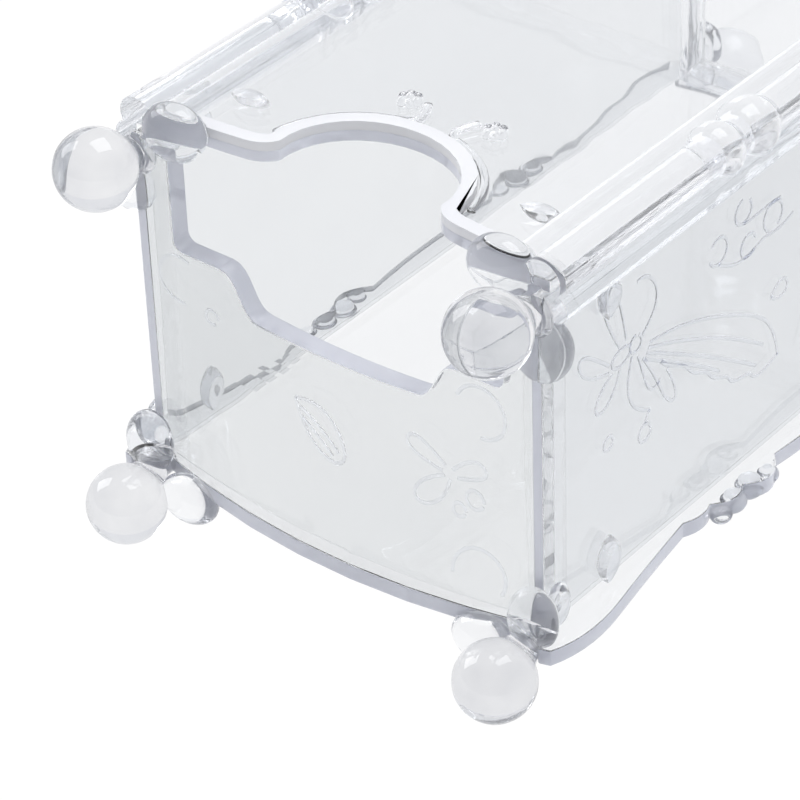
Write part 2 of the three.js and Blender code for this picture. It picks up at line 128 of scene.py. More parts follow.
class Recipe:
    """A node tree and the one method that adds nodes to it."""

    def __init__(self, tree):
        self.tree = tree

    def node(self, kind, settings=None, values=None, output=0):
        made = self.tree.nodes.new(kind)
        for key, value in (settings or {}).items():
            setattr(made, key, value)
        for key, value in (values or {}).items():
            self.feed(made.inputs[key], value)
        return Term(self, made.outputs[output])

    def blend(self, factor, first, second):
        """A colour between the two given ones."""
        values = {"Factor": factor, 6: (*first, 1), 7: (*second, 1)}
        return self.node("ShaderNodeMix", {"data_type": "RGBA"}, values, output=2)

    def feed(self, socket, value):
        if isinstance(value, Term):
            self.tree.links.new(value.socket, socket)
        else:
            socket.default_value = value


REFRACTION = 1.49       # of acrylic


def clear_plastic(name, tint, deep_tint, roughness, ripple, seed, body=1.0, clouds=26):
    """Moulded clear plastic: cloudy tint, flow marks that ripple the surface, and handling haze.
    With body below 1 the plastic is fused so well to what it stands on that it bends less of the light."""
    material = bpy.data.materials.new(name)
    material.use_nodes = True
    recipe = Recipe(material.node_tree)
    shader = material.node_tree.nodes["Principled BSDF"]
    shader.inputs["Transmission Weight"].default_value = 1
    shader.inputs["IOR"].default_value = REFRACTION
    shader.inputs["Alpha"].default_value = body
    place = recipe.node("ShaderNodeTexCoord", output=3)
    moved = recipe.node("ShaderNodeMapping", values={0: place, 1: (seed, 0, seed)})
    cloud = recipe.node("ShaderNodeTexNoise", values={"Vector": moved, "Scale": clouds, "Detail": 2})
    flow = recipe.node("ShaderNodeTexNoise", values={"Vector": moved, "Scale": 70, "Detail": 1})
    haze = recipe.node("ShaderNodeTexNoise", values={"Vector": moved, "Scale": 320, "Detail": 3})
    recipe.feed(shader.inputs["Base Color"], recipe.blend(cloud, tint, deep_tint))
    recipe.feed(shader.inputs["Roughness"], roughness * (0.5 + haze))
    bump = recipe.node("ShaderNodeBump", values={"Strength": 0.25, "Distance": ripple, "Height": flow})
    recipe.feed(shader.inputs["Normal"], bump)
    return material


def cut_edge(name, tint, deep_tint, seed):
    """The polished but ribbed edge of a plate, as a mostly diffuse finish. Its colour is painted: painted
    shade over the plastic's own tint where a plate's trapped light shows at its edge, and a painted
    highlight where it is near white.
    """
    material = bpy.data.materials.new(name)
    material.use_nodes = True
    recipe = Recipe(material.node_tree)
    shader = material.node_tree.nodes["Principled BSDF"]
    shader.inputs["Transmission Weight"].default_value = 0.25
    shader.inputs["IOR"].default_value = REFRACTION
    place = recipe.node("ShaderNodeTexCoord", output=3)
    moved = recipe.node("ShaderNodeMapping", values={0: place, 1: (seed, 0, seed)})
    streak = recipe.node("ShaderNodeTexNoise", values={"Vector": moved, "Scale": 60, "Detail": 3})
    recipe.feed(shader.inputs["Base Color"], recipe.blend(streak, tint, deep_tint))
    recipe.feed(shader.inputs["Roughness"], 0.06 + 0.14 * streak)
    return material


def floor_white():
    material = bpy.data.materials.new("floor_white")
    material.use_nodes = True
    shader = material.node_tree.nodes["Principled BSDF"]
    shader.inputs["Base Color"].default_value = (0.03, 0.03, 0.03, 1)
    shader.inputs["Roughness"].default_value = 1
    shader.inputs["Specular IOR Level"].default_value = 0
    shader.inputs["Emission Color"].default_value = (1, 1, 1, 1)
    shader.inputs["Emission Strength"].default_value = 1.0
    return material


DIM_SIDE = (0.34, 0.35, 0.39)
BRIGHT_SIDE = (0.95, 0.96, 0.98)


def lay_floor():
    shape = bmesh.new()
    bmesh.ops.create_grid(shape, x_segments=1, y_segments=1, size=FLOOR_SIZE)
    mesh = bpy.data.meshes.new("floor")
    shape.to_mesh(mesh)
    shape.free()
    mesh.materials.append(floor_white())
    floor = bpy.data.objects.new("floor", mesh)
    scene.collection.objects.link(floor)


def studio_world():
    """Bright behind the object and overhead, dimmer on the camera's side."""
    world = bpy.data.worlds.new("studio")
    world.use_nodes = True
    recipe = Recipe(world.node_tree)
    place = recipe.node("ShaderNodeTexCoord", output=0)
    along = recipe.node("ShaderNodeSeparateXYZ", values={0: place}, output=1)
    backdrop = recipe.blend(0.85 + 1.4 * along, DIM_SIDE, BRIGHT_SIDE)
    recipe.feed(world.node_tree.nodes["Background"].inputs["Color"], backdrop)
    scene.world = world


# ---- Mesh helpers -----------------------------------------------------------------------------
def merged_copy(node):
    """The node's shape in millimetres from the datum, as one closed mesh."""
    shape = bmesh.new()
    shape.from_mesh(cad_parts[node].data)
    bmesh.ops.translate(shape, verts=shape.verts, vec=-DATUM)
    bmesh.ops.scale(shape, verts=shape.verts, vec=(1 / MM, 1 / MM, 1 / MM))
    bmesh.ops.remove_doubles(shape, verts=shape.verts, dist=0.002)
    bmesh.ops.dissolve_limit(shape, angle_limit=math.radians(0.5), verts=shape.verts, edges=shape.edges)
    bmesh.ops.recalc_face_normals(shape, faces=shape.faces)
    return shape


def grow(shape, by):
    """Moves each side of the shape outwards by the given distances."""
    low = Vector([min(vert.co[axis] for vert in shape.verts) for axis in range(3)])
    high = Vector([max(vert.co[axis] for vert in shape.verts) for axis in range(3)])
    middle = (low + high) / 2
    factor = [1 + 2 * by[axis] / (high[axis] - low[axis]) for axis in range(3)]
    bmesh.ops.translate(shape, verts=shape.verts, vec=-middle)
    bmesh.ops.scale(shape, verts=shape.verts, vec=factor)
    bmesh.ops.translate(shape, verts=shape.verts, vec=middle)


def block(low, high):
    shape = bmesh.new()
    bmesh.ops.create_cube(shape, size=1)
    size = Vector(high) - Vector(low)
    bmesh.ops.scale(shape, verts=shape.verts, vec=size)
    bmesh.ops.translate(shape, verts=shape.verts, vec=Vector(low) + size / 2)
    return shape


def ellipsoid(centre, semi, grow=0.0, around=40, down=26):
    shape = bmesh.new()
    bmesh.ops.create_uvsphere(shape, u_segments=around, v_segments=down, radius=1)
    bmesh.ops.scale(shape, verts=shape.verts, vec=[half + grow for half in semi])
    bmesh.ops.translate(shape, verts=shape.verts, vec=centre)
    return shape


def rod(x, z, radius, y0, y1, around=56):
    """A round rod along Y."""
    shape = bmesh.new()
    bmesh.ops.create_cone(
        shape, cap_ends=True, segments=around, radius1=radius, radius2=radius, depth=y1 - y0
    )
    bmesh.ops.rotate(shape, verts=shape.verts, matrix=Matrix.Rotation(math.radians(90), 3, "X"))
    bmesh.ops.translate(shape, verts=shape.verts, vec=(x, (y0 + y1) / 2, z))
    return shape


def spun(profile, foot, tip, steps=48):
    """A profile of (radius, height) points turned about the line from foot to tip."""
    shape = bmesh.new()
    chain = [shape.verts.new((radius, 0, height)) for radius, height in profile]
    edges = [shape.edges.new(pair) for pair in zip(chain, chain[1:])]
    bmesh.ops.spin(
        shape, geom=chain + edges, axis=(0, 0, 1), cent=(0, 0, 0),
        angle=math.tau, steps=steps, use_merge=True,
    )
    bmesh.ops.remove_doubles(shape, verts=shape.verts, dist=0.002)
    bmesh.ops.recalc_face_normals(shape, faces=shape.faces)
    turn = (Vector(tip) - Vector(foot)).to_track_quat("Z", "Y").to_matrix()
    bmesh.ops.rotate(shape, verts=shape.verts, matrix=turn)
    bmesh.ops.translate(shape, verts=shape.verts, vec=foot)
    return shape


NECK_FLARE = 1.5
NECK_WAIST = 1.7


def ball_with_neck(centre, tip, radius, neck, grow=0.0):
    """A ball whose neck flares a little where it meets the plastic at the tip."""
    radius, neck = radius + grow, neck + grow
    reach = (Vector(tip) - Vector(centre)).length
    meet = math.asin(min(neck * NECK_FLARE / radius, 1))
    steps = 26
    profile = []
    for i in range(steps + 1):
        angle = -math.pi / 2 + (math.pi - meet) * i / steps
        profile.append((radius * math.cos(angle), radius * math.sin(angle)))
    start = profile[-1][1]
    for i in range(1, 7):
        t = i / 6
        waist = neck * (NECK_FLARE - NECK_WAIST * t * (1 - t))
        profile.append((waist, start + (reach - start) * t))
    profile[0] = (0, -radius)
    profile.append((0, reach))
    return spun(profile, centre, tip)


def combine(shape, others, operation):
    """Joins, cuts or intersects the shape with each of the others, which are used up."""
    for other in others:
        helpers = []
        for part in (shape, other):
            mesh = bpy.data.meshes.new("helper")
            part.to_mesh(mesh)
            part.free()
            helpers.append(bpy.data.objects.new("helper", mesh))
            scene.collection.objects.link(helpers[-1])
        step = helpers[0].modifiers.new("step", "BOOLEAN")
        step.operation = operation
        step.solver = "MANIFOLD"
        step.object = helpers[1]
        shape = bmesh.new()
        shape.from_object(helpers[0], bpy.context.evaluated_depsgraph_get())
        for helper in helpers:
            bpy.data.meshes.remove(helper.data)
    return shape


def soften(shape, width, segments=3, sharp=35.0):
    """Rounds every edge that is sharper than the given angle."""
    edges = [e for e in shape.edges if e.is_manifold and e.calc_face_angle() > math.radians(sharp)]
    bmesh.ops.bevel(
        shape, geom=edges, offset=width, offset_type="OFFSET", segments=segments,
        profile=0.5, affect="EDGES", clamp_overlap=True, material=-1,
    )


def shade(shape, flat_area=18.0, sharp=38.0):
    """Large plane faces stay flat, and the others are smooth up to the sharp edges."""
    for face in shape.faces:
        face.smooth = face.calc_area() < flat_area
    for edge in shape.edges:
        edge.smooth = edge.is_manifold and edge.calc_face_angle() < math.radians(sharp)


def finish_piece(name, shape, materials, body="box", stands_for=()):
    """Makes the shape an object in the frame, riding on its body."""
    bmesh.ops.scale(shape, verts=shape.verts, vec=(MM, MM, MM))
    bmesh.ops.translate(shape, verts=shape.verts, vec=DATUM)
    mesh = bpy.data.meshes.new(name)
    shape.to_mesh(mesh)
    shape.free()
    for material in materials:
        mesh.materials.append(material)
    piece = bpy.data.objects.new(name, mesh)
    scene.collection.objects.link(piece)
    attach(piece, body)
    if stands_for:
        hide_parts(*stands_for)
    return piece


def swell(x, z):
    """How far the end plate stands out of its plane at the given place."""
    return END_BOW * (1 - (x / INNER_HALF) ** 2) * max(0, 1 - max(z, 0) / BOW_HEIGHT) ** 2


def in_skin(at):
    """Whether a place on a moulded-on ornament lies in the skin of the plate behind it."""
    depth = SINK - 0.03
    across = abs(at.x) < HALF - depth
    along = depth - swell(at.x, at.z) < at.y < LENGTH or LENGTH < at.y < LID_OUTER - depth
    return across and along and depth - BACK_THICKNESS < at.z < FRONT_TOP - depth


def ornament(node, shape, material, body="box", flat_area=18.0):
    """A moulded-on piece that stands for its node, with the bonded finish where it is fused."""
    shade(shape, flat_area)
    for face in shape.faces:
        face.material_index = int(in_skin(face.calc_center_median()))
    finish_piece(f"{node}_clear", shape, [material, BONDED_FACE], body, [node])


# ---- Plates ------------------------------------------------------------------------------------
ACROSS_X, ACROSS_Y, ACROSS_Z = range(3)     # the axis a plate's thickness runs along
ARRIS = 0.3             # rounding of the plates' edges
WALL_ARRIS = 0.25
LID_ARRIS = 0.4
BONDED = {
    "front_panel": lambda at: abs(at.x) > HALF - 1 or at.y > LENGTH - 1,
    "end_plate": lambda at: abs(at.x) > INNER_HALF - 1 or at.z < 1,
    "left_wall": lambda at: at.y > 1,
    "right_wall": lambda at: at.y > 1,
    "back_panel": lambda at: at.y > LENGTH - 1,
    "lid_plate": lambda at: False,
}


def plate(node, axis, round_over, materials, fuse=(0, 0, 0), drop=0, body="box"):
    """A plate of the frame with rounded arrises, fused into its neighbours by the given depths.
    Its narrow faces take the edge finish, or the bonded finish where they meet a neighbour."""
    shape = merged_copy(node)
    grow(shape, fuse)
    bmesh.ops.translate(shape, verts=shape.verts, vec=(0, 0, -drop))
    soften(shape, round_over)
    shade(shape)
    for face in shape.faces:
        if abs(face.normal[axis]) < 0.5:
            bonded = BONDED[node](face.calc_center_median())
            face.material_index = 2 if bonded else 1
    finish_piece(f"{node}_clear", shape, materials, body, [node])


# ---- Corner balls and petals ------------------------------------------------------------------
NECK_RADIUS = 2.6
NECK_FOOT = {"upper": -2.2, "lower": 4.0}
PETALS = {
    "upper_across_petal": ((HALF - 8.5, 1.5, FRONT_TOP + 0.3), (6.2, 4.2, 5.2)),
    "lower_across_petal": ((HALF - 10, -3.4, -BACK_THICKNESS - 1.2), (6.0, 3.6, 4.6)),
    "upper_side_petal": ((HALF + 0.3, 0.4, FRONT_TOP - 11.2), (4.8, 4.5, 5.6)),
    "lower_side_petal": ((HALF - 0.5, -2.3, 3.2), (4.6, 3.6, 6.2)),
}


def mirrored(point, side):
    return (side * point[0], point[1], point[2])


def ball_place(node):
    """A ball's centre and radius from its node: the ball is the widest part of it."""
    low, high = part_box(node)
    radius = (high.x - low.x) / 2
    outward = -1 if low.y < DATUM.y else 1
    y = low.y + radius if outward < 0 else high.y - radius
    z = low.z + radius if (low.z + high.z) / 2 < DATUM.z + 0.5 * FRONT_TOP * MM else high.z - radius
    centre = Vector(((low.x + high.x) / 2, y, z)) - DATUM
    return centre / MM, radius / MM


def envelope():
    """The space inside the box's skin, which moulded-on ornaments stay out of."""
    low = (-HALF + SINK, SINK, -BACK_THICKNESS + SINK)
    return block(low, (HALF - SINK, LENGTH, FRONT_TOP - SINK))


def cores():
    """The insides of the box, its back panel and its end, which moulded-on ornaments stay out of."""
    back = merged_copy("back_panel")
    grow(back, (-SINK, -SINK, -SINK))
    end = merged_copy("end_plate")
    bmesh.ops.translate(end, verts=end.verts, vec=(0, SINK, 0))
    return [envelope(), back, end]


def near_ball(side, level, grow=0.0):
    centre, radius = ball_place(f"{side}_{level}_ball")
    tip = centre + Vector((SIDES[side] * 0.6, -centre.y, NECK_FOOT[level]))
    return ball_with_neck(centre, tip, radius, NECK_RADIUS, grow)


def petal(side, name, grow=0.0):
    centre, semi = PETALS[name]
    return ellipsoid(mirrored(centre, SIDES[side]), semi, grow)


def near_corners(material, ball_material):
    for side in SIDES:
        for level in ("upper", "lower"):
            ball = combine(near_ball(side, level), cores(), "DIFFERENCE")
            ornament(f"{side}_{level}_ball", ball, ball_material)
        for name in PETALS:
            cutters = cores() + [near_ball(side, name.split("_")[0], -SINK)]
            if name == "lower_across_petal":
                cutters.append(petal(side, "lower_side_petal", -SINK))
            shape = combine(petal(side, name), cutters, "DIFFERENCE")
            ornament(f"{side}_{name}", shape, material)


# ---- Mouldings and knots -----------------------------------------------------------------------
BEADS = ((-5.9, 0.9, 2.7), (-0.6, 0.8, 3.6), (1.7, -3.5, 2.6))
MOULDING_START = 1.0
KNOT_Y = 52
KNOT_BEADS = ((-4.5, (5.0, 5.0, 5.0)), (4.5, (5.4, 6.0, 5.2)))


def knot_shapes(side, y, grow=0.0):
    inward = 1 if y < LENGTH / 2 else -1
    x = SIDES[side] * (HALF - 0.8)
    return [ellipsoid((x, y + inward * along, FRONT_TOP + 0.6), semi, grow) for along, semi in KNOT_BEADS]


def moulding(side):
    x = SIDES[side]
    rods = [rod(x * (HALF + dx), FRONT_TOP + dz, r, MOULDING_START, LENGTH) for dx, dz, r in BEADS]
    shape = combine(rods[0], rods[1:], "UNION")
    cutters = [envelope(), petal(side, "upper_side_petal", -SINK), petal(side, "upper_across_petal", -SINK)]
    for y in (KNOT_Y, LENGTH - KNOT_Y):
        cutters += knot_shapes(side, y, -SINK)
    return combine(shape, cutters, "DIFFERENCE")


def knot(side, y):
    first, second = knot_shapes(side, y)
    shape = combine(first, [second], "UNION")
    return combine(shape, [envelope()], "DIFFERENCE")


def mouldings(material):
    for side in SIDES:
        ornament(f"{side}_moulding", moulding(side), material, flat_area=400)
        for end, y in (("near", KNOT_Y), ("far", LENGTH - KNOT_Y)):
            ornament(f"{side}_{end}_knot", knot(side, y), material)


# ---- Mouth rim, scrolls, leaves and posts -------------------------------------------------------
LEAF_Y = 16.4
LEAVES = {
    "upper_leaf": ((HALF + 1, LEAF_Y, FRONT_TOP - 9.8), (1.3, 2.9, 4.4), 2),
    "lower_leaf": ((HALF + 1, LEAF_Y, 4.6), (1.5, 2.9, 5.2), 2),
    "front_leaf": ((HALF - 12, LEAF_Y, FRONT_TOP + 0.8), (4.4, 1.9, 1.3), 0),
}
BERRY_PIPS = 6
DROP_CENTRE = (HALF + 1.4, 2, 4.6)
DROP_SIZE = (1.6, 2.6, 4.2)


def leaf(centre, semi, along):
    """A leaf with pointed ends on the given axis."""
    shape = ellipsoid((0, 0, 0), (1, 1, 1))
    for vert in shape.verts:
        taper = math.sqrt(max(1 - vert.co[along] ** 2, 0.0004))
        for axis in range(3):
            if axis != along:
                vert.co[axis] *= taper
    bmesh.ops.scale(shape, verts=shape.verts, vec=semi)
    bmesh.ops.translate(shape, verts=shape.verts, vec=centre)
    return shape


def small_parts(material, faint, hidden, edge):
    rim = merged_copy("mouth_rim")
    bmesh.ops.translate(rim, verts=rim.verts, vec=(0, 0, -SINK / 2))
    soften(rim, 0.55)
    # The mouth rim takes the near-white painted highlight finish.
    ornament("mouth_rim", rim, edge, flat_area=60)
    for side, sign in SIDES.items():
        scroll = merged_copy(f"{side}_scroll")
        bmesh.ops.translate(scroll, verts=scroll.verts, vec=(0, 0, -SINK))
        soften(scroll, 0.4)
        ornament(f"{side}_scroll", scroll, material, flat_area=60)
        post = merged_copy(f"{side}_corner_post")
        bmesh.ops.translate(post, verts=post.verts, vec=(sign * SINK, -SINK, 0))
        shade(post, flat_area=400)
        finish_piece(f"{side}_corner_post_clear", post, [hidden], "box", [f"{side}_corner_post"])
        for name, (centre, semi, along) in LEAVES.items():
            shape = leaf(mirrored(centre, sign), semi, along)
            shape = combine(shape, cores(), "DIFFERENCE")
            ornament(f"{side}_{name}", shape, faint)
        berry(side, material)
        drop = ellipsoid(mirrored(DROP_CENTRE, sign), DROP_SIZE)
        cutters = cores() + [petal(side, "lower_side_petal", -SINK)]
        drop = combine(drop, cutters, "DIFFERENCE")
        ornament(f"{side}_lower_drop", drop, material)


def berry(side, material):
    """A cluster of pips round a middle one."""
    low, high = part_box(f"{side}_scroll_berry")
    middle = ((low + high) / 2 - DATUM) / MM
    reach = (high.x - low.x) / 2 / MM
    pip = 0.42 * reach
    base = middle.z - (high.z - low.z) / 2 / MM - SINK / 2
    shape = ellipsoid((middle.x, middle.y, base), (pip, pip, 1.5 * pip), 0, 20, 12)
    ring = []
    for i in range(BERRY_PIPS):
        angle = math.tau * i / BERRY_PIPS
        x = middle.x + (reach - pip) * math.cos(angle)
        y = middle.y + (reach - pip) * math.sin(angle)
        ring.append(ellipsoid((x, y, base), (pip, pip, 1.2 * pip), 0, 20, 12))
    shape = combine(shape, ring, "UNION")
    shape = combine(shape, [envelope()], "DIFFERENCE")
    ornament(f"{side}_scroll_berry", shape, material)


# ---- Beads under the back panel's edge ----------------------------------------------------------
FLANGE_BEADS = ((44.4, 1.9), (48.6, 2.4), (53.7, 2.6), (58.4, 2.0))


def flange_beads(material):
    for side, sign in SIDES.items():
        beads = []
        for y, radius in FLANGE_BEADS:
            for station in (y, LENGTH - y):
                centre = (sign * (HALF + 6.1 - radius), station, -0.6 * BACK_THICKNESS)
                beads.append(ellipsoid(centre, (radius, radius * 1.15, radius * 0.8), 0, 32, 20))
        shape = combine(beads[0], beads[1:], "UNION")
        shape = combine(shape, cores(), "DIFFERENCE")
        shade(shape)
        finish_piece(f"{side}_flange_beads", shape, [material])


# ---- Raised line work on the plates --------------------------------------------------------------
def mirror_lines(lines, about):
    return [[(2 * about - u, v) for u, v in line] for line in lines]


def ring(u, v, radius, start=0.0, sweep=330.0, steps=14):
    turns = [math.radians(start + sweep * i / steps) for i in range(steps + 1)]
    return [(u + radius * math.cos(turn), v + radius * math.sin(turn)) for turn in turns]


def strands(lines, width, height, frame_matrix):
    """Fine raised lines drawn in a plane, as smooth flattened cords."""
    data = bpy.data.curves.new("lines", "CURVE")
    data.dimensions = "3D"
    data.bevel_depth = width / 2
    data.bevel_resolution = 2
    data.use_fill_caps = True
    data.resolution_u = 5
    for line in lines:
        spline = data.splines.new("NURBS")
        spline.points.add(len(line) - 1)
        for point, (u, v) in zip(spline.points, line):
            point.co = (u, v, 0, 1)
        spline.use_endpoint_u = True
        spline.order_u = 4
    drawn = bpy.data.objects.new("lines", data)
    scene.collection.objects.link(drawn)
    bpy.context.view_layer.update()
    shape = bmesh.new()
    mesh = bpy.data.meshes.new_from_object(drawn)
    shape.from_mesh(mesh)
    bpy.data.meshes.remove(mesh)
    bpy.data.curves.remove(data)
    bmesh.ops.remove_doubles(shape, verts=shape.verts, dist=0.002)
    bmesh.ops.scale(shape, verts=shape.verts, vec=(1, 1, 2 * height / width))
    whole = shape.verts[:] + shape.edges[:] + shape.faces[:]
    bmesh.ops.bisect_plane(
        shape, geom=whole, plane_co=(0, 0, 0.4 * height), plane_no=(0, 0, 1), clear_inner=True
    )
    bmesh.ops.holes_fill(shape, edges=[edge for edge in shape.edges if edge.is_boundary], sides=0)
    bmesh.ops.transform(shape, verts=shape.verts, matrix=frame_matrix)
    bmesh.ops.recalc_face_normals(shape, faces=shape.faces)
    shade(shape, flat_area=400, sharp=60)
    return shape


def plane_matrix(origin, across, upwards):
    out = across.cross(upwards)
    return Matrix.Translation(origin) @ Matrix((across, upwards, out)).transposed().to_4x4()


BUTTERFLY = [
    ring(25, 42.3, 1.6, 90, 330),
    [(23.6, 42.8), (21.4, 43.8), (18.8, 43), (18.2, 41.2), (20, 40), (22.4, 40.4), (23.6, 41.6)],
    [(26.8, 43), (30.2, 45.6), (31.2, 49), (29.8, 52.4), (27.2, 54.4), (25.2, 54)],
    [(20.6, 44), (17.6, 49), (15.4, 55), (16.6, 59), (19.6, 56), (21.4, 50), (22.4, 44.6)],
    [(28.9, 40.4), (36, 39.6), (46, 36), (54, 32), (60.9, 28.2), (65.4, 23.6), (66.7, 17)],
    [(28.4, 39.6), (40, 35.4), (52, 29), (62, 21.6)],
    [(28, 38.8), (38, 33.2), (50, 25.6), (60, 18.4)],
    [(27.4, 38), (33, 34.4), (41, 29.6), (49, 23.4)],
    [(32, 35), (34.4, 31.8), (38, 31.6), (40.4, 28.5)],
    [(40.4, 28.5), (42.2, 26), (45, 26.4), (46.3, 24.1)],
    [(46.3, 24.1), (48.4, 21.4), (51.2, 22), (52.3, 19.7)],
    [(52.3, 19.7), (54.6, 17.4), (57.6, 18.8), (58.8, 17)],
    [(58.8, 17), (61, 14.8), (64, 16.4), (66.7, 17)],
    [(24, 40.4), (22.6, 36), (22.9, 31.6), (26, 28.4), (29.1, 27)],
    [(25.6, 39.6), (27.4, 35), (28, 31.4), (30.4, 30.1), (32, 31.6)],
    [(27, 38.4), (30.6, 33), (32.6, 27.6), (36.2, 23.8), (37, 27), (33.8, 32.6)],
    [(17.8, 42), (14, 45.4), (10, 48.5), (9, 45.6), (12.6, 41.6), (17.6, 40.6)],
    [(18.6, 40), (14.6, 38), (13.4, 34.4), (16.4, 33.4), (19.6, 36.6), (20.6, 39.6)],
]
CURLS = [
    ring(48, 47.7, 2.6, 200, 300),
    ring(56.8, 44.3, 2.2, 20, 300),
    ring(55.1, 51.8, 2.4, 100, 300),
    ring(64, 46.4, 2.8, -60, 300),
    [(48, 45), (52, 42.6), (55, 42), (59, 42.6), (62, 44), (66, 42.4), (70, 44)],
    [(55, 49.4), (58, 48.6), (61, 49.6), (66, 49)],
    [(64, 30), (66, 32.4), (69, 32), (69.4, 29), (66.6, 28), (64, 30)],
]
BERRY_ON_WALL = [ring(27.7, 23.2, 1.7, 0, 350), [(27.8, 25), (28.2, 26.4), (29, 27)]]
RING_ON_WALL = [ring(17.6, 26.9, 1.3, 0, 350)]
MEADOW = [
    [(74, 14), (77, 22), (80, 34), (80, 46)],
    [(80, 26), (75, 30), (74, 36), (78, 34), (80, 28)],
]
END_LINES = [
    ring(29.8, 38, 5.0, 160, -250),
    ring(30, 6.5, 5.0, 190, -220),
    [(22.6, 24.6), (17, 29), (13.6, 27.6), (15, 24.4), (22, 23.4)],
    [(22.4, 22.8), (17.4, 20.4), (15.6, 16.4), (18.8, 15.2), (22.6, 18), (23.6, 22.4)],
    [(24, 24.4), (27.6, 28.4), (31.6, 28), (31, 24.6), (25, 23.2)],
    ring(28.6, 20.4, 1.8, 0, 340),
    ring(25.6, 17.4, 1.3, 0, 340),
    ring(-33.5, 38.6, 4.6, 60, 220),
    ring(-26.8, 33.6, 1.4, 0, 300),
    [(-9, 25), (-4, 26.4), (1, 22), (2.8, 16.4), (-1.6, 15.4), (-7, 19), (-9, 25)],
    [(-8, 23.6), (-3, 21.4), (0.6, 18)],
    [(-7.4, 21.8), (-3.4, 19.4), (-0.6, 17)],
]
LINE_WIDTH = 0.9
LINE_HEIGHT = 0.2
LINE_SINK = 0.09


def line_work(material):
    upwards = Vector((0, 0, 1))
    half = BUTTERFLY + CURLS + BERRY_ON_WALL + RING_ON_WALL
    lines = half + mirror_lines(half, LENGTH / 2) + MEADOW + mirror_lines(MEADOW, LENGTH / 2)
    outer = plane_matrix(Vector((HALF - LINE_SINK, 0, 0)), Vector((0, 1, 0)), upwards)
    finish_piece("right_wall_butterflies", strands(lines, LINE_WIDTH, LINE_HEIGHT, outer), [material])
    near = plane_matrix(Vector((0, LINE_SINK, 0)), Vector((1, 0, 0)), upwards)
    flowers = strands(END_LINES, LINE_WIDTH, LINE_HEIGHT, near)
    for vert in flowers.verts:
        vert.co.y -= swell(vert.co.x, vert.co.z)
    finish_piece("end_plate_flowers", flowers, [material])


# ---- Lid -----------------------------------------------------------------------------------------
KNOB_NECK = 4.2
ROSETTE_RING = 10.5
ROSETTE_PETALS = 6
ROSETTE_PETAL_SIZE = (5.6, 2.4, 4.4)
ROSETTE_THICKNESS = 2
LID_PETAL_LIFT = 1.6


def behind_lid():
    """The space behind the lid's outer face, which its ornaments stay out of."""
    return block((-2 * HALF, 0, -HALF), (2 * HALF, LID_OUTER - SINK, 2 * FRONT_TOP))


def lid_petals(centre, sign, inward):
    """The places and sizes of the two petals beside a ball on the lid."""
    y = LID_OUTER + LID_PETAL_LIFT
    return {
        "across": ((centre.x - sign * 8.4, y, centre.z + inward * 0.2), (5.4, 3.0, 4.4)),
        "side": ((centre.x + sign * 0.5, y, centre.z + inward * 8.2), (4.4, 3.0, 5.4)),
    }


def lid_trim(material):
    centre, radius = ball_place("lid_knob")
    foot = Vector((0, LID_OUTER - SINK, centre.z))
    knob = combine(ball_with_neck(centre, foot, radius, KNOB_NECK), [behind_lid()], "DIFFERENCE")
    ornament("lid_knob", knob, material, "lid")
    for side, sign in SIDES.items():
        for level in ("upper", "lower"):
            node = f"lid_{side}_{level}_ball"
            centre, radius = ball_place(node)
            foot = Vector((centre.x, LID_OUTER - SINK, centre.z))
            ball = ball_with_neck(centre, foot, radius, NECK_RADIUS)
            ball = combine(ball, [behind_lid()], "DIFFERENCE")
            ornament(node, ball, material, "lid")
            inward = -1 if level == "upper" else 1
            for name, (middle, semi) in lid_petals(centre, sign, inward).items():
                cutters = [ball_with_neck(centre, foot, radius, NECK_RADIUS, -SINK), behind_lid()]
                shape = combine(ellipsoid(middle, semi), cutters, "DIFFERENCE")
                ornament(f"lid_{side}_{level}_{name}_petal", shape, material, "lid")


def rosette(material):
    centre = ball_place("lid_knob")[0]
    shape = rod(0, centre.z, ROSETTE_RING, LID_OUTER - SINK, LID_OUTER + ROSETTE_THICKNESS)
    petals = []
    for i in range(ROSETTE_PETALS):
        angle = math.tau * i / ROSETTE_PETALS
        part = ellipsoid((0, 0, 0), ROSETTE_PETAL_SIZE)
        bmesh.ops.rotate(part, verts=part.verts, matrix=Matrix.Rotation(-angle, 3, "Y"))
        across = ROSETTE_RING * math.cos(angle)
        height = centre.z + ROSETTE_RING * math.sin(angle)
        bmesh.ops.translate(part, verts=part.verts, vec=(across, LID_OUTER + LID_PETAL_LIFT, height))
        petals.append(part)
    shape = combine(shape, petals, "UNION")
    bore = rod(0, centre.z, KNOB_NECK - SINK, 0, LID_OUTER + HALF)
    shape = combine(shape, [bore, behind_lid()], "DIFFERENCE")
    ornament("lid_knob_rosette", shape, material, "lid")


# ---- Build -------------------------------------------------------------------------------------
make_camera()
scene.view_settings.view_transform = "Standard"
for limit in ("max_bounces", "transmission_bounces", "glossy_bounces", "transparent_max_bounces"):
    setattr(scene.cycles, limit, LIGHT_BOUNCES)
studio_world()
softbox("overhead_softbox", place=(0.1, 0.5, 1.7), size=(1.2, 1.2), power=14)
softbox("side_softbox", place=(-1.5, -0.3, 0.9), size=(0.7, 1.1), power=8)

lay_floor()
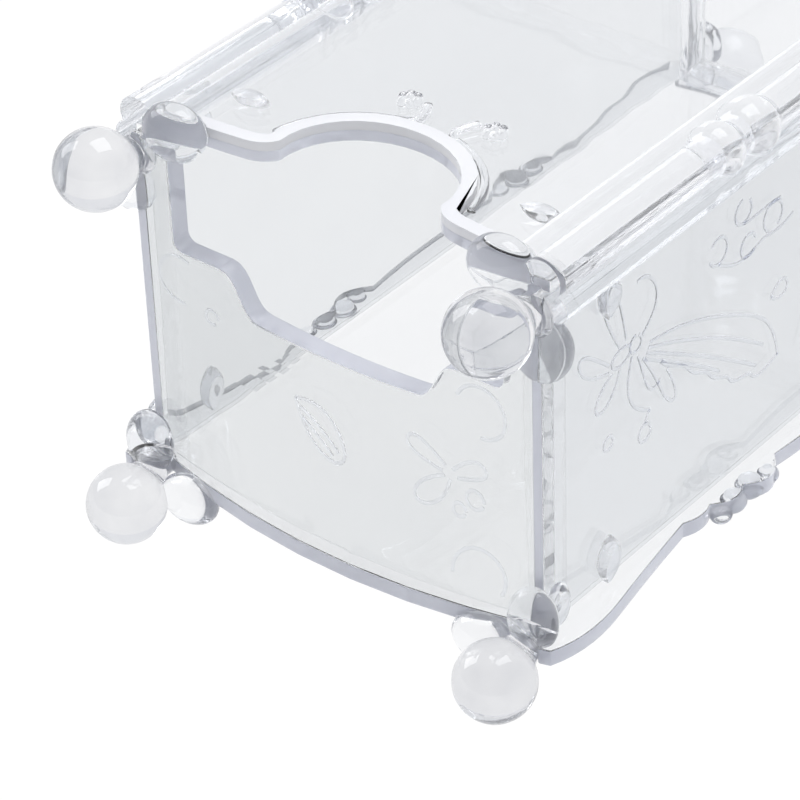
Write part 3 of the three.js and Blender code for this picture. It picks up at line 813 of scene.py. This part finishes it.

# The plates are one clear plastic in lit and shaded copies: each tint is the plastic's own faint grey plus
# painted light and shade, the front panel tinted lightest and the side walls and end plate darkest.
PANEL = clear_plastic(
    "back_panel_plastic", (0.93, 0.935, 0.945), (0.89, 0.9, 0.915),
    roughness=0.02, ripple=0.0003, seed=0.0,
)
# Painted light: the front panel is tinted lightest of the plates.
FRONT = clear_plastic(
    "front_panel_plastic", (0.97, 0.973, 0.98), (0.94, 0.945, 0.955),
    roughness=0.02, ripple=0.0003, seed=5.2,
)
# Painted shade: the end plate is tinted darker than the panels.
END = clear_plastic(
    "end_plate_plastic_painted_shade", (0.86, 0.87, 0.87), (0.82, 0.83, 0.835),
    roughness=0.02, ripple=0.0003, seed=2.4,
)
# Painted shade: the side walls are tinted darkest of the plates.
SIDE = clear_plastic(
    "side_wall_plastic_painted_shade", (0.815, 0.83, 0.845), (0.765, 0.78, 0.80),
    roughness=0.03, ripple=0.0003, seed=3.1,
)
TRIM = clear_plastic(
    "clear_trim_plastic", (0.95, 0.955, 0.965), (0.90, 0.91, 0.93),
    roughness=0.01, ripple=0.0002, seed=7.7,
)
BALL = clear_plastic(
    "ball_plastic", (1.0, 1.0, 1.0), (0.58, 0.59, 0.63),
    roughness=0.01, ripple=0.0012, seed=9.6, clouds=130,
)
RAIL = clear_plastic(
    "moulding_plastic", (0.995, 0.996, 1.0), (0.97, 0.975, 0.99),
    roughness=0.01, ripple=0.0003, seed=4.4,
)
FAINT = clear_plastic(
    "fused_trim_plastic", (0.97, 0.975, 0.99), (0.90, 0.91, 0.94),
    roughness=0.02, ripple=0.0002, seed=6.1, body=0.85,
)
LINES = clear_plastic(
    "raised_line_plastic", (0.97, 0.975, 0.99), (0.90, 0.91, 0.94),
    roughness=0.02, ripple=0.0002, seed=5.7, body=0.9,
)
POST = clear_plastic(
    "corner_post_plastic", (0.99, 0.992, 1.0), (0.96, 0.965, 0.98),
    roughness=0.02, ripple=0.0002, seed=8.3, body=0.15,
)
BONDED_FACE = clear_plastic(
    "bonded_plastic", (0.99, 0.99, 1.0), (0.97, 0.97, 0.98),
    roughness=0.02, ripple=0.0001, seed=2.9, body=0.04,
)
# Painted shade over the plastic's own tint: the plates' narrow faces take a darker lavender on a mostly
# diffuse finish.
EDGE = cut_edge("plate_edge_tint_and_painted_shade", (0.76, 0.775, 0.84), (0.60, 0.62, 0.71), seed=1.3)
# Painted highlight: the clear mouth rim is near white on a mostly diffuse finish.
RIM = cut_edge("mouth_rim_painted_highlight", (1.0, 1.0, 1.0), (0.88, 0.89, 0.94), seed=3.3)

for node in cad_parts.values():
    node.data.materials.clear()
    node.data.materials.append(TRIM)

plate("front_panel", ACROSS_Z, ARRIS, [FRONT, EDGE, BONDED_FACE])
plate("back_panel", ACROSS_Z, ARRIS, [PANEL, EDGE, BONDED_FACE])
plate("end_plate", ACROSS_Y, ARRIS, [END, EDGE, BONDED_FACE], (SINK, 0, SINK / 2), SINK / 2)
for side in SIDES:
    plate(f"{side}_wall", ACROSS_X, WALL_ARRIS, [SIDE, EDGE, BONDED_FACE], (0, 0, SINK))
plate("lid_plate", ACROSS_Y, LID_ARRIS, [PANEL, EDGE], body="lid")
lid_ring = merged_copy("lid_locating_rim")
soften(lid_ring, ARRIS)
shade(lid_ring)
finish_piece("lid_locating_rim_clear", lid_ring, [FRONT], "lid", ["lid_locating_rim"])
near_corners(TRIM, BALL)
mouldings(RAIL)
small_parts(RAIL, FAINT, POST, RIM)
flange_beads(TRIM)
line_work(LINES)
lid_trim(TRIM)
rosette(TRIM)
